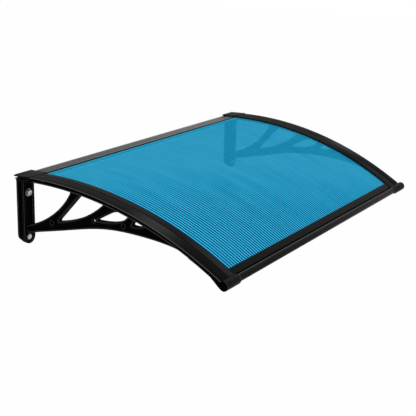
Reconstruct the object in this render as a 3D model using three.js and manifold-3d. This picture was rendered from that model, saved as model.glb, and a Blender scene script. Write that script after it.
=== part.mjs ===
// Door canopy: a bowed twin-wall roof sheet held between two moulded side brackets,
// with a cover strip over each side, a round-nosed front rail and a rear rail on the wall.
// Millimetres, +Z up, wall plane at y = 0, the canopy reaches out towards -Y, mirror plane x = 0.
import * as THREE from 'three';
import { mergeVertices } from 'three/addons/utils/BufferGeometryUtils.js';
import Module from 'manifold-3d';

const wasm = await Module();
wasm.setup();

// Fits
const clearance = 0.3; // left between pieces that touch
const lip = 1.7; // thickness of the rails' gripping lips

// Bow of the roof: the sheet's upper face lies on a cylinder along X
const bowRadius = 952;
const crownOut = 70; // the crown's distance from the wall
const crownUp = 8; // the crown's height above the origin
const sheetThick = 6;
const sheetSkin = 0.8;
const fluteCount = 99;
const bowSteps = 6; // straight runs that stand for the bow between the rails

// The blue opening left between the covers and the rails
const openHalf = 450; // half its width
const openRear = 44;
const openFront = 559.5;
const frontTuck = 15; // how far the sheet goes into the front rail
const rearStop = 12; // the sheet's rear edge, measured from the wall

// Places across the width, each from the one before, on the +X side
const rearOver = 48; // the rear rail's end past the opening
const sideGap = 5.4; // from the rear rail's end to the bracket's outer face
const bracketWide = 38.4;
const sheetSeat = 10.5; // how far the sheet's edge lies on the bracket
const rearHalf = openHalf + rearOver;
const right = rearHalf + sideGap; // the bracket's outer face
const left = right - bracketWide;
const bracketMid = (left + right) / 2;
const sheetHalf = left + sheetSeat;
const noseEnd = right + 9.6;
const capOuter = right + 3.1;
const coverOuter = right + 7.1;
const coverRidge = (openHalf + coverOuter) / 2 + 0.7; // where the cover's top is highest

// Side bracket
const plateThick = 2.7; // the plate under the sheet's edge
const plateRim = 5; // height of the plate's outer rim
const rimThick = 2.5;
const armTip = 0.854; // where the arm's underside runs into the plate, as a share of the reach
const trussWide = 16;
const trussWeb = 6;
const trussRim = 3.5;
const eyeRadius = 4.5;
const noseAlong = 30.5; // the nose's centre past the opening's front edge, along the sheet
const noseLift = 1.5; // and above the sheet's upper face
const noseRadius = 10.6;
const noseWall = 2.3;

// Wall post of the bracket
const postDepth = 22.8;
const postBack = 4.5; // wall flange
const postFront = 6; // front flange
const postBodyWide = 26;
const postFoot = 151.1; // centre of the rounded foot below the crown
const wallFootLift = 5; // the wall flange's foot above it
const pocketWide = 23.5;
const pocketDeep = 3.5;
const footPocketDeep = 8.5;
const crossRim = 7; // between the shallow pocket and the foot pocket
const boltDrops = [42, postFoot + 2.6]; // the bolts' centres below the crown
const armDrop = postFoot - 8.6; // the arm's underside below the sheet, where it meets the post
const boltRadius = 4;
const boltHead = 13; // across flats
const boltHeadTall = 5.3;
const washerRadius = 10;
const washerThick = 1.6;

// Cover strip and its rear cap
const coverEdge = 2.2; // thickness along the inner edge
const coverRise = 2.5; // the ridge above the inner edge
const coverFall = 1.2; // the outer edge below the ridge
const coverLip = 1.4; // thickness along the outer edge
const coverLap = 6; // how far the raised rear end laps onto the strip
const coverRib = 3;
const capDeep = 14;
const capThick = 2.6;
const brimTop = -2.1; // the bracket's rear lip below the cap
const brimThick = 3;
const tabReach = [0.148, 0.49]; // places of the cover's feet, as shares of the reach
const tabLong = 9;

// Rear rail
const rearLip = 2;
const rearWall = 3;
const rearRound = 7;
const rearGrooves = 3;

// Finishes
const finish = {
  black: { color: 0x24262a, roughness: 0.48, metalness: 0 },
  blackRail: { color: 0x2a2b2d, roughness: 0.4, metalness: 0.6 },
  aluminium: { color: 0x8b8782, roughness: 0.42, metalness: 0.9 },
  sheet: { color: 0x2d98c3, roughness: 0.22, metalness: 0, transparent: true, opacity: 0.8 },
  zinc: { color: 0xc9ccd0, roughness: 0.3, metalness: 1 },
};

// Points on the bow. A lift is a distance outwards from the sheet's upper face.
const angleAt = (out) => Math.asin((out - crownOut) / bowRadius);
const bowPoint = (angle, lift) => new THREE.Vector2(
  crownOut + (bowRadius + lift) * Math.sin(angle),
  crownUp - bowRadius + (bowRadius + lift) * Math.cos(angle),
);

const rearAngle = angleAt(openRear);
const frontAngle = angleAt(openFront);
const rearEdgeAngle = angleAt(rearStop);
const frontEdgeAngle = frontAngle + frontTuck / bowRadius;
const innerAngles = Array.from(
  { length: bowSteps + 1 },
  (_, k) => rearAngle + ((frontAngle - rearAngle) * k) / bowSteps,
);

// A straight frame along the sheet's end: u runs along the sheet, v away from its upper face.
function endFrame(fromAngle, toAngle) {
  const origin = bowPoint(fromAngle, 0);
  const along = bowPoint(toAngle, 0).sub(origin).normalize();
  const middle = (fromAngle + toAngle) / 2;
  const off = new THREE.Vector2(Math.sin(middle), Math.cos(middle));
  return (u, v) => origin.clone().addScaledVector(along, u).addScaledVector(off, v);
}
const atFront = endFrame(frontAngle, frontEdgeAngle);
const atRear = endFrame(rearAngle, rearEdgeAngle);

// The rear frame's line at lift v, read at a distance out from the wall
function rearLine(out, v) {
  const a = atRear(0, v);
  const b = atRear(openRear - rearStop, v);
  return new THREE.Vector2(out, a.y + ((b.y - a.y) * (out - a.x)) / (b.x - a.x));
}

// A profile drawn in (out, up), stretched along X
function sideways(shape, fromX, toX) {
  const geometry = new THREE.ExtrudeGeometry(shape, {
    depth: toX - fromX, bevelEnabled: false, curveSegments: 11,
  });
  const p = geometry.attributes.position;
  for (let i = 0; i < p.count; i += 1) p.setXYZ(i, toX - p.getZ(i), -p.getX(i), p.getY(i));
  return geometry;
}

// A profile drawn in (x, up), stretched away from the wall
function outwards(shape, fromOut, toOut) {
  const geometry = new THREE.ExtrudeGeometry(shape, {
    depth: toOut - fromOut, bevelEnabled: false, curveSegments: 9,
  });
  const p = geometry.attributes.position;
  for (let i = 0; i < p.count; i += 1) p.setXYZ(i, p.getX(i), -fromOut - p.getZ(i), p.getY(i));
  return geometry;
}

// A section drawn in (x, lift), carried along the bow through the given angles
function bowed(shape, angles) {
  const steps = angles.length - 1;
  const geometry = new THREE.ExtrudeGeometry(shape, { depth: steps, steps, bevelEnabled: false });
  const p = geometry.attributes.position;
  for (let i = 0; i < p.count; i += 1) {
    const spot = bowPoint(angles[Math.round(p.getZ(i))], p.getY(i));
    p.setXYZ(i, p.getX(i), -spot.x, spot.y);
  }
  return geometry;
}

// Solids for the cuts and joins
function solid(geometry) {
  const bare = geometry.clone();
  bare.deleteAttribute('normal');
  bare.deleteAttribute('uv');
  const merged = mergeVertices(bare, 1e-4);
  return new wasm.Manifold(new wasm.Mesh({
    numProp: 3,
    vertProperties: new Float32Array(merged.attributes.position.array),
    triVerts: new Uint32Array(merged.index.array),
  }));
}
const join = (geometries) => geometries.map(solid).reduce((a, b) => a.add(b));
const cut = (body, geometries) => geometries.map(solid).reduce((a, b) => a.subtract(b), body);

function toGeometry(body) {
  const mesh = body.getMesh();
  const geometry = new THREE.BufferGeometry();
  geometry.setAttribute('position', new THREE.BufferAttribute(new Float32Array(mesh.vertProperties), 3));
  geometry.setIndex(new THREE.BufferAttribute(new Uint32Array(mesh.triVerts), 1));
  return geometry;
}

// The same geometry on the other side of the mirror plane, still facing out
function mirrored(geometry) {
  const twin = geometry.clone();
  const p = twin.attributes.position;
  for (let i = 0; i < p.count; i += 1) p.setX(i, -p.getX(i));
  const order = twin.index;
  for (let i = 0; i < order.count; i += 3) {
    const second = order.getX(i + 1);
    order.setX(i + 1, order.getX(i + 2));
    order.setX(i + 2, second);
  }
  return twin;
}

const canopy = new THREE.Group();
function place(name, geometry, look) {
  const flat = geometry.index ? geometry.toNonIndexed() : geometry;
  flat.computeVertexNormals();
  const mesh = new THREE.Mesh(flat, new THREE.MeshStandardMaterial(look));
  mesh.name = name;
  canopy.add(mesh);
  return mesh;
}

// Small drawing helpers
function polygon(points) {
  const loop = points.map((q) => (q.isVector2 ? q : new THREE.Vector2(q[0], q[1])));
  return new THREE.Shape(THREE.ShapeUtils.isClockWise(loop) ? loop.reverse() : loop);
}
const rectangle = (x0, y0, x1, y1) => polygon([[x0, y0], [x1, y0], [x1, y1], [x0, y1]]);

function circlePath(x, y, radius) {
  const path = new THREE.Path();
  path.absarc(x, y, radius, 0, Math.PI * 2, true);
  return path;
}

// A round bar along X, or straight out from the wall
function barX(radius, fromX, toX, centre, sides) {
  const bar = new THREE.CylinderGeometry(radius, radius, toX - fromX, sides);
  bar.rotateZ(Math.PI / 2);
  return bar.translate((fromX + toX) / 2, -centre.x, centre.y);
}
function barOut(radius, fromOut, toOut, x, up, sides) {
  const bar = new THREE.CylinderGeometry(radius, radius, toOut - fromOut, sides);
  return bar.translate(x, -(fromOut + toOut) / 2, up);
}
// A closed loop with rounded corners. A corner's via bends the edge that leaves it.
function softLoop(corners) {
  const edges = corners.map((corner, k) => {
    const next = corners[(k + 1) % corners.length];
    const via = corner.via ?? corner.at.clone().add(next.at).multiplyScalar(0.5);
    const curve = new THREE.QuadraticBezierCurve(corner.at, via, next.at);
    const length = curve.getLength();
    return { curve, from: corner.round / length, to: 1 - next.round / length, bent: Boolean(corner.via) };
  });
  const points = [];
  edges.forEach((edge, k) => {
    const pieces = edge.bent ? 6 : 1;
    for (let i = 0; i <= pieces; i += 1) {
      points.push(edge.curve.getPointAt(edge.from + ((edge.to - edge.from) * i) / pieces));
    }
    const next = (k + 1) % corners.length;
    const turn = new THREE.QuadraticBezierCurve(
      points[points.length - 1],
      corners[next].at,
      edges[next].curve.getPointAt(edges[next].from),
    );
    points.push(...turn.getPoints(3).slice(1, -1));
  });
  return points;
}

// The loop moved sideways by a distance: outwards when positive
function grown(points, distance) {
  const turn = THREE.ShapeUtils.isClockWise(points) ? -1 : 1;
  return points.map((q, k) => {
    const before = points[(k + points.length - 1) % points.length];
    const after = points[(k + 1) % points.length];
    const a = q.clone().sub(before).normalize();
    const b = after.clone().sub(q).normalize();
    const normal = new THREE.Vector2(a.y + b.y, -a.x - b.x).normalize();
    const reach = distance / Math.max(0.5, normal.x * a.y - normal.y * a.x);
    return q.clone().addScaledVector(normal, turn * reach);
  });
}

// Roof sheet: two skins joined by ribs, so that each flute runs open from end to end
const plateTop = -sheetThick - clearance;
const plateBottom = plateTop - plateThick;
{
  const runs = [rearEdgeAngle, ...innerAngles, frontEdgeAngle];
  const past = 1 / bowRadius;
  const openRuns = [rearEdgeAngle - past, ...innerAngles, frontEdgeAngle + past];
  const pitch = (2 * sheetHalf - sheetSkin) / fluteCount;
  const flutes = Array.from({ length: fluteCount }, (_, k) => {
    const start = -sheetHalf + sheetSkin + k * pitch;
    return bowed(rectangle(start, sheetSkin - sheetThick, start + pitch - sheetSkin, -sheetSkin), openRuns);
  });
  const sheet = solid(bowed(rectangle(-sheetHalf, -sheetThick, sheetHalf, 0), runs));
  place('roof_sheet', toGeometry(cut(sheet, flutes)), finish.sheet);
}

// Front rail: two lips grip the sheet, a groove, then a hollow round nose that enters the brackets
const nose = atFront(noseAlong, noseLift);
const beadRadius = noseRadius - noseWall - clearance;
const railTop = clearance + lip;
const railBottom = plateTop - lip;
const rearTop = clearance + rearLip;
{
  const slotEnd = frontTuck + clearance + 0.2;
  const onBead = (height) => Math.PI - Math.asin((height - noseLift) / beadRadius);
  const grooveFloor = -1.4;
  const grooveEdge = noseAlong - Math.sqrt(beadRadius ** 2 - (grooveFloor - noseLift) ** 2);
  const outline = new THREE.Shape();
  outline.moveTo(0, clearance);
  outline.lineTo(0, railTop);
  outline.lineTo(grooveEdge - 2.2, railTop);
  outline.lineTo(grooveEdge - 2.2, grooveFloor);
  const chinHeight = noseLift - 0.8 * beadRadius;
  const lastAngle = onBead(chinHeight) - Math.PI * 2;
  outline.absarc(noseAlong, noseLift, beadRadius, onBead(grooveFloor), lastAngle, true);
  outline.lineTo(slotEnd + 2, railBottom);
  outline.lineTo(0, railBottom);
  outline.lineTo(0, plateTop);
  outline.lineTo(slotEnd, plateTop);
  outline.lineTo(slotEnd, clearance);
  const placed = polygon(outline.getPoints(14).map((q) => atFront(q.x, q.y)));
  placed.holes.push(circlePath(nose.x, nose.y, beadRadius - 2.2));
  const flangeHalf = openHalf - clearance;
  const beadHalf = noseEnd - 4 - 2 * clearance;
  const ring = new THREE.Shape();
  ring.absarc(nose.x, nose.y, beadRadius, 0, Math.PI * 2, false);
  ring.holes.push(circlePath(nose.x, nose.y, beadRadius - 2.2));
  const rail = join([
    sideways(placed, -flangeHalf, flangeHalf),
    sideways(ring, flangeHalf - 1, beadHalf),
    sideways(ring, -beadHalf, 1 - flangeHalf),
  ]);
  place('front_rail', toGeometry(rail), finish.blackRail);
}

// Rear rail: lips over and under the sheet, fine grooves on top, a flat back against the wall
{
  const slotEnd = openRear - rearStop + clearance + 0.2;
  const floor = rearLine(0, railBottom).y;
  const shelf = rearLine(rearRound, rearTop).y;
  const points = [atRear(0, rearTop), atRear(0, clearance), atRear(slotEnd, clearance)];
  points.push(atRear(slotEnd, plateTop), atRear(0, plateTop), atRear(0, railBottom));
  const back = new THREE.Path();
  back.moveTo(0, floor);
  back.lineTo(0, shelf - rearRound / 2);
  back.quadraticCurveTo(0, shelf, rearRound, shelf);
  const body = join([sideways(polygon([...points, ...back.getPoints(8)]), -rearHalf, rearHalf)]);
  const spacing = (slotEnd - 8) / rearGrooves;
  const grooves = Array.from({ length: rearGrooves }, (_, k) => {
    const at = 8 + k * spacing;
    const corners = [atRear(at, rearTop + 1), atRear(at, rearTop - 0.7)];
    corners.push(atRear(at + 1.6, rearTop - 0.7), atRear(at + 1.6, rearTop + 1));
    return sideways(polygon(corners), -rearHalf - 1, rearHalf + 1);
  });
  const hollow = [[rearWall, floor + lip], [rearStop - 3, floor + lip], [rearStop - 3, shelf - lip - 1.2]];
  grooves.push(sideways(polygon([...hollow, [rearWall, shelf - lip - 3]]), -rearHalf - 1, rearHalf + 1));
  place('rear_rail', toGeometry(cut(body, grooves)), finish.aluminium);
}

// Side bracket, drawn on the +X side
const seatTop = railBottom - clearance;
const seatThick = 3;
const stripStart = angleAt(openRear + 2 * clearance);
const sideAngles = [stripStart, ...innerAngles.slice(1), frontEdgeAngle];

// The point a given drop below the sheet's upper face, read at a distance out from the wall
function belowBow(out, drop) {
  const up = Math.sqrt((bowRadius - drop) ** 2 - (out - crownOut) ** 2);
  return new THREE.Vector2(out, crownUp - bowRadius + up);
}

function bracketTruss() {
  const topDrop = sheetThick + clearance + plateThick / 2;
  const seatMid = seatTop - seatThick / 2;
  const onRail = (out) => belowBow(out, topDrop);
  const topLine = (out) => (out < openRear + coverLap ? rearLine(out, seatMid) : onRail(out));
  const railVia = (a, b) => {
    const ends = onRail(a).add(onRail(b)).multiplyScalar(0.5);
    return new THREE.Vector2(ends.x, 2 * onRail(ends.x).y - ends.y);
  };
  // Places on the arm: a share of the reach, and a share of the arm's drop below the sheet
  const spot = (reach, drop) => belowBow(reach * openFront, drop * armDrop);
  const inPost = postDepth - 7;
  const tip = belowBow(armTip * openFront, topDrop + trussRim + 1);
  const under = new THREE.CubicBezierCurve(
    belowBow(inPost, armDrop), spot(0.301, 0.672), spot(0.594, 0.146), tip,
  );
  const chin = nose.clone().add(new THREE.Vector2(-0.57, -0.8).multiplyScalar(noseRadius));
  const neck = new THREE.QuadraticBezierCurve(tip, belowBow(nose.x - 2.2 * noseRadius, topDrop + 1.5), chin);
  const topRun = (from, count) => Array.from(
    { length: count + 1 },
    (_, k) => topLine(from + ((inPost - from) * k) / count),
  );
  const outline = [...under.getPoints(14), ...neck.getPoints(4).slice(1), ...topRun(nose.x - noseRadius, 14)];
  const roomy = under.getPoints(14).filter((q) => onRail(q.x).y - q.y > 3 * trussRim);
  const recess = grown([...roomy, ...topRun(roomy[roomy.length - 1].x, 12)], -trussRim);
  // Each cut-out: its lower rear corner, then its front and rear corners under the rail
  const window = (lower, via, front, rear, rounds) => softLoop([
    { at: lower, round: rounds[0], via },
    { at: onRail(front * openFront), round: rounds[1], via: railVia(front * openFront, rear * openFront) },
    { at: onRail(rear * openFront), round: rounds[2] },
  ]);
  const cutOuts = [
    window(spot(inPost / openFront, 0.868), spot(0.216, 0.623), 0.286, inPost / openFront, [1, 9, 1]),
    window(spot(0.205, 0.676), spot(0.3624, 0.499), 0.46, 0.3356, [4, 7, 6]),
    window(spot(0.4104, 0.418), spot(0.556, 0.295), 0.578, 0.516, [4, 6, 8]),
    window(spot(0.588, 0.219), spot(0.64, 0.185), 0.666, 0.613, [3, 5, 4]),
  ];
  const eyes = [spot(0.1752, 0.72), spot(0.3968, 0.448), spot(0.5505, 0.294)];

  const half = trussWide / 2;
  let body = solid(sideways(polygon(outline), bracketMid - half, bracketMid + half));
  let pocket = solid(sideways(polygon(recess), 0, half));
  cutOuts.forEach((loop) => {
    body = cut(body, [sideways(polygon(loop), bracketMid - half - 1, bracketMid + half + 1)]);
    pocket = cut(pocket, [sideways(polygon(grown(loop, trussRim)), -1, half + 1)]);
  });
  eyes.forEach((eye) => {
    pocket = cut(pocket, [barX(eyeRadius + 2.5, -1, half + 1, eye, 12)]);
  });
  const shape = toGeometry(pocket);
  body = cut(body, [
    shape.clone().translate(bracketMid + trussWeb / 2, 0, 0),
    shape.clone().translate(bracketMid - trussWeb / 2 - half, 0, 0),
  ]);
  return cut(body, eyes.map(
    (eye) => barX(eyeRadius, bracketMid - half - 1, bracketMid + half + 1, eye, 10),
  ));
}

function postShape(wide, top, centre) {
  const shape = new THREE.Shape();
  shape.moveTo(bracketMid + wide / 2, top);
  shape.lineTo(bracketMid - wide / 2, top);
  shape.absarc(bracketMid, centre, wide / 2, Math.PI, Math.PI * 2, false);
  return shape;
}

const footRadius = washerRadius + 1.2;
function bracketPost() {
  const top = (rearLine(0, seatTop).y + rearLine(postDepth, seatTop - seatThick).y) / 2;
  const foot = crownUp - postFoot;
  const boss = new THREE.Shape();
  boss.absarc(bracketMid, foot, bracketWide / 2 - 1, 0, Math.PI * 2, false);
  const body = join([
    outwards(postShape(bracketWide, top, foot + wallFootLift), 0, postBack),
    outwards(postShape(postBodyWide, top, foot), 0, postDepth),
    outwards(postShape(bracketWide, top, foot), postDepth - postFront, postDepth),
    outwards(boss, postBack - 2, postDepth - postFront + 1),
  ]);
  const halfPocket = pocketWide / 2;
  const pocketTop = rearLine(postDepth, seatTop - seatThick).y - 4;
  const pocketFloor = crownUp - boltDrops[1] + footRadius + crossRim;
  const pocket = rectangle(bracketMid - halfPocket, pocketFloor, bracketMid + halfPocket, pocketTop);
  return cut(body, [outwards(pocket, postDepth - pocketDeep, postDepth + 1)]);
}

function bracketSeat() {
  const stepOut = openRear + 2 * clearance;
  const front = stepOut + 6;
  const seat = polygon([
    rearLine(0, seatTop), rearLine(0, seatTop - seatThick), rearLine(stepOut, seatTop - seatThick),
    belowBow(front, -plateBottom), belowBow(front, -plateTop + clearance),
    belowBow(stepOut, -plateTop + clearance), rearLine(stepOut, seatTop),
  ]);
  const stop = polygon([
    rearLine(0, seatTop - 2), rearLine(capDeep, seatTop - 2),
    rearLine(capDeep, brimTop), rearLine(0, brimTop),
  ]);
  const brim = polygon([
    rearLine(0, brimTop - brimThick), rearLine(capDeep, brimTop - brimThick),
    rearLine(capDeep, brimTop), rearLine(0, brimTop),
  ]);
  return join([
    sideways(seat, left, right),
    sideways(stop, right - 3.4, right),
    sideways(brim, right - 3.4, capOuter),
  ]);
}

function bracketNose() {
  const profile = new THREE.Path();
  profile.moveTo(0, openHalf);
  profile.lineTo(noseRadius - 1, openHalf);
  profile.lineTo(noseRadius, openHalf + 1);
  profile.lineTo(noseRadius, noseEnd - 2.5);
  profile.quadraticCurveTo(noseRadius, noseEnd, noseRadius - 2.5, noseEnd);
  profile.lineTo(0, noseEnd);
  const turned = new THREE.LatheGeometry(profile.getPoints(3), 22);
  turned.rotateZ(-Math.PI / 2);
  turned.translate(0, -nose.x, nose.y);
  return turned;
}

function bracket() {
  const plate = bowed(rectangle(left, plateBottom, right, plateTop), sideAngles);
  const rim = bowed(rectangle(right - rimThick, plateBottom, right, plateBottom + plateRim), sideAngles);
  const bridgeEnd = noseAlong - 3.5;
  const bridge = polygon([
    atFront(frontTuck - 2, plateBottom), atFront(bridgeEnd, plateBottom - 0.5),
    atFront(bridgeEnd, plateTop - 0.5), atFront(frontTuck - 2, plateTop - 0.1),
  ]);
  let body = join([plate, rim, sideways(bridge, left, right), bracketNose()]);
  body = body.add(bracketTruss()).add(bracketPost()).add(bracketSeat());
  const holes = boltDrops.map(
    (drop) => barOut(boltRadius + 0.5, -1, postDepth + 1, bracketMid, crownUp - drop, 12),
  );
  const footFloor = postDepth - footPocketDeep;
  holes.push(barOut(footRadius, footFloor, postDepth + 1, bracketMid, crownUp - boltDrops[1], 20));
  holes.push(barX(beadRadius + clearance, openHalf - 1, noseEnd - 4, nose, 22));
  return toGeometry(cut(body, holes));
}

// Cover strip: a low ridge, a rib down to the bracket and a raised end over the rear rail
function cover() {
  const under = clearance;
  const top = under + coverEdge;
  const ridge = top + coverRise;
  const outerTop = ridge - coverFall;
  const rib = sheetHalf + 5;
  const section = polygon([
    [openHalf, under], [rib, under], [rib, plateTop + clearance], [rib + coverRib, plateTop + clearance],
    [rib + coverRib, ridge - coverEdge], [coverOuter, outerTop - coverLip], [coverOuter, outerTop],
    [coverRidge, ridge], [openHalf, top],
  ]);
  const endAngle = frontAngle + (noseAlong - noseRadius - clearance) / bowRadius;
  const angles = [stripStart, ...innerAngles.slice(1), endAngle];
  const raised = rearTop + clearance;
  const stepOut = openRear + 2 * clearance;
  const lid = polygon([
    rearLine(0, raised), rearLine(stepOut, raised), belowBow(stepOut, -under - 0.8),
    belowBow(stepOut + coverLap, -under - 0.8), belowBow(stepOut + coverLap, -top),
    belowBow(stepOut + 2, -raised - 2.2), rearLine(0, raised + 2.2),
  ]);
  const skirt = polygon([
    rearLine(4, brimTop + clearance), rearLine(stepOut + 1, brimTop + clearance),
    rearLine(stepOut + 1, raised + 1), rearLine(4, raised + 1),
  ]);
  const cap = polygon([
    rearLine(0, raised), rearLine(capDeep, raised),
    rearLine(capDeep - 1, raised + capThick), rearLine(0, raised + capThick),
  ]);
  const pieces = [
    bowed(section, angles),
    sideways(lid, openHalf, coverOuter),
    sideways(skirt, rearHalf + 2 * clearance, rearHalf + 2 * clearance + coverRib),
    sideways(cap, openHalf, capOuter),
  ];
  const rimTop = plateBottom + plateRim + clearance;
  const foot = rectangle(right - rimThick, rimTop, right, outerTop - 0.5);
  tabReach.forEach((share) => {
    const out = share * openFront;
    pieces.push(bowed(foot, [angleAt(out - tabLong / 2), angleAt(out + tabLong / 2)]));
  });
  return toGeometry(join(pieces));
}

const bracketShape = bracket();
const coverShape = cover();
place('bracket_left', mirrored(bracketShape), finish.black);
place('bracket_right', bracketShape, finish.black);
place('cover_left', mirrored(coverShape), finish.black);
place('cover_right', coverShape, finish.black);

// Wall bolts with washers: two through each post, cut level with the wall plane
function hexBolt(seat) {
  const head = new THREE.CylinderGeometry(boltHead / Math.sqrt(3), boltHead / Math.sqrt(3), boltHeadTall, 6);
  head.translate(0, -(seat + boltHeadTall / 2), 0);
  const crown = new THREE.CylinderGeometry(boltHead / 2 - 0.6, boltHead / 2, 0.8, 16);
  crown.rotateX(Math.PI).translate(0, -(seat + boltHeadTall + 0.3), 0);
  const shank = new THREE.CylinderGeometry(boltRadius, boltRadius, seat + 1, 12);
  shank.translate(0, -(seat + 1) / 2, 0);
  return toGeometry(join([head, crown, shank]));
}
const washerShape = new THREE.Shape();
washerShape.absarc(0, 0, washerRadius, 0, Math.PI * 2, false);
washerShape.holes.push(circlePath(0, 0, boltRadius + clearance));
const washer = outwards(washerShape, 0, washerThick);

[-1, 1].forEach((side) => {
  const hand = side < 0 ? 'left' : 'right';
  boltDrops.forEach((drop, k) => {
    const level = k === 0 ? 'upper' : 'lower';
    const floor = postDepth - (k === 0 ? pocketDeep : footPocketDeep) + clearance;
    const bolt = place(`wall_bolt_${hand}_${level}`, hexBolt(floor + washerThick + clearance), finish.zinc);
    bolt.position.set(side * bracketMid, 0, crownUp - drop);
    const ring = place(`washer_${hand}_${level}`, washer.clone(), finish.zinc);
    ring.position.set(side * bracketMid, -floor, crownUp - drop);
  });
});

export default canopy;
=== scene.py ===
import math

import bmesh
import bpy
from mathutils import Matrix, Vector


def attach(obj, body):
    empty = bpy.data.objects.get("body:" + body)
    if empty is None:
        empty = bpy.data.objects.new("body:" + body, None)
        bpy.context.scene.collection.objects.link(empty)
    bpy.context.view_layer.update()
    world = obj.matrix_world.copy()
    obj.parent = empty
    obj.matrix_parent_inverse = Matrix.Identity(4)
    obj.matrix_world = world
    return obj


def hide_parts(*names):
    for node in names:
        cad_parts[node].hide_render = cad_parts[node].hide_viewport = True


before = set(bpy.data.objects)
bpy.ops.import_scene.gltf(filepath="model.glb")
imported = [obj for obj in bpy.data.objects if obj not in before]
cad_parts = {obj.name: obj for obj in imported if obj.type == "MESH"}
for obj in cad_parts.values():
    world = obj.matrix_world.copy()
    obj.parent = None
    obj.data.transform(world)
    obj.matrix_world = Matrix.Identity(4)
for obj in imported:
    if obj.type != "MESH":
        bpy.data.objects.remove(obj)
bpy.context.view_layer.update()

mm = 0.001
scene = bpy.context.scene

# sizes are in mm, in finishes and the studio in metres; out is measured from the wall
# bow is the cylinder that the sheet's upper face lies on
bow = {
    "radius": 952.0,
    "crownOut": 70.0,
    "crownUp": 8.0,
    "rear": 44.0,  # blue opening, rear edge
    "front": 559.5,  # and front edge
    "rearStop": 12.0,
    "frontTuck": 15.0,
    "gap": 0.3,
    "coverGap": 0.6,  # covers and plates begin this far in front of the rear rail
}

# places across the width, on the +X side
across = {
    "open": 450.0,
    "rearEnd": 498.0,
    "inner": 465.0,
    "outer": 503.4,
    "mid": 484.2,
    "sheet": 475.5,
    "noseEnd": 513.0,
    "cap": 506.5,
    "cover": 510.5,
}

# the brackets' plate and rim, measured off the sheet's upper face
plate = {
    "top": -6.3,
    "bottom": -9.0,
    "rimBottom": -9.8,
    "rimThick": 3.0,
    "rimEdge": 2.6,  # height of its lower edge, which has a painted highlight
    # the painted highlight on the rim's lower edge ends here
    "highlitTo": 505.0,
    "lipTop": -4.0,
    "lipThick": 2.5,
}


# points on the bow

def angleAt(out):
    return math.asin((out - bow["crownOut"]) / bow["radius"])


def bowPoint(angle, lift):
    r = bow["radius"] + lift
    up = bow["crownUp"] - bow["radius"] + r * math.cos(angle)
    return Vector((bow["crownOut"] + r * math.sin(angle), up))


def belowBow(out, drop):
    up = math.sqrt((bow["radius"] - drop) ** 2 - (out - bow["crownOut"]) ** 2)
    return Vector((out, bow["crownUp"] - bow["radius"] + up))


rearAngle = angleAt(bow["rear"])
frontAngle = angleAt(bow["front"])
rearEdge = angleAt(bow["rearStop"])
frontEdge = frontAngle + bow["frontTuck"] / bow["radius"]
coverStart = bow["rear"] + bow["coverGap"]


def endFrame(start, end):  # u runs along the sheet, v off its upper face
    origin = bowPoint(start, 0)
    along = (bowPoint(end, 0) - origin).normalized()
    middle = (start + end) / 2
    off = Vector((math.sin(middle), math.cos(middle)))
    return lambda u, v: origin + along * u + off * v


atFront = endFrame(frontAngle, frontEdge)
atRear = endFrame(rearAngle, rearEdge)


def frontSpot(q):  # the u and v of a scene point, in mm
    origin = atFront(0, 0)
    spot = Vector((-q.y, q.z)) - origin
    return spot.dot(atFront(1, 0) - origin), spot.dot(atFront(0, 1) - origin)


def rearLine(out, v):
    a, b = atRear(0, v), atRear(bow["rear"] - bow["rearStop"], v)
    return Vector((out, a.y + (b.y - a.y) * (out - a.x) / (b.x - a.x)))


def spread(start, end, count):
    return [start + (end - start) * k / count for k in range(count + 1)]


# placing drawn points in the scene: side drawings are (out, up), front drawings are (x, up)

def sideways(hand=1):
    return lambda a, b, c: Vector((hand * c, -a, b)) * mm


def outwards(hand=1, up=0.0, x=0.0):
    return lambda a, b, c: Vector((hand * (a + x), -c, b + up)) * mm


# loops

def bend(a, b, c, t):
    return a * (1 - t) ** 2 + b * (2 * t * (1 - t)) + c * t ** 2


def soften(points, radius, steps=4, closed=True):
    loop = []
    radii = radius if isinstance(radius, (list, tuple)) else [radius] * len(points)
    points = [Vector(q) for q in points]
    for k, (q, r) in enumerate(zip(points, radii)):
        before, after = points[k - 1] - q, points[(k + 1) % len(points)] - q
        if r <= 0 or not closed and k in (0, len(points) - 1):
            loop.append(q)
            continue
        start = q + before.normalized() * min(r, before.length * 0.45)  # neighbours never meet
        end = q + after.normalized() * min(r, after.length * 0.45)
        loop += [bend(start, q, end, t) for t in spread(0, 1, steps)]
    return loop


def turning(points):
    return sum(a.x * b.y - b.x * a.y for a, b in zip(points, points[1:] + points[:1]))


def grown(points, distance):
    turn = 1 if turning(points) > 0 else -1
    moved = []
    for k, q in enumerate(points):
        a = (q - points[k - 1]).normalized()
        b = (points[(k + 1) % len(points)] - q).normalized()
        normal = Vector((a.y + b.y, -a.x - b.x)).normalized()
        moved.append(q + normal * (turn * distance / max(0.5, normal.x * a.y - normal.y * a.x)))
    return moved


def ring(x, y, radius, count=40):
    return [Vector((x + radius * math.cos(t), y + radius * math.sin(t)))
            for t in (math.tau * k / count for k in range(count))]


def rectangle(left, right, low, high):
    return [(left, low), (right, low), (right, high), (left, high)]


def rearBlock(near, far, low, high):  # follows the slope of the sheet's rear end
    return [rearLine(near, low), rearLine(far, low), rearLine(far, high), rearLine(near, high)]


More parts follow.
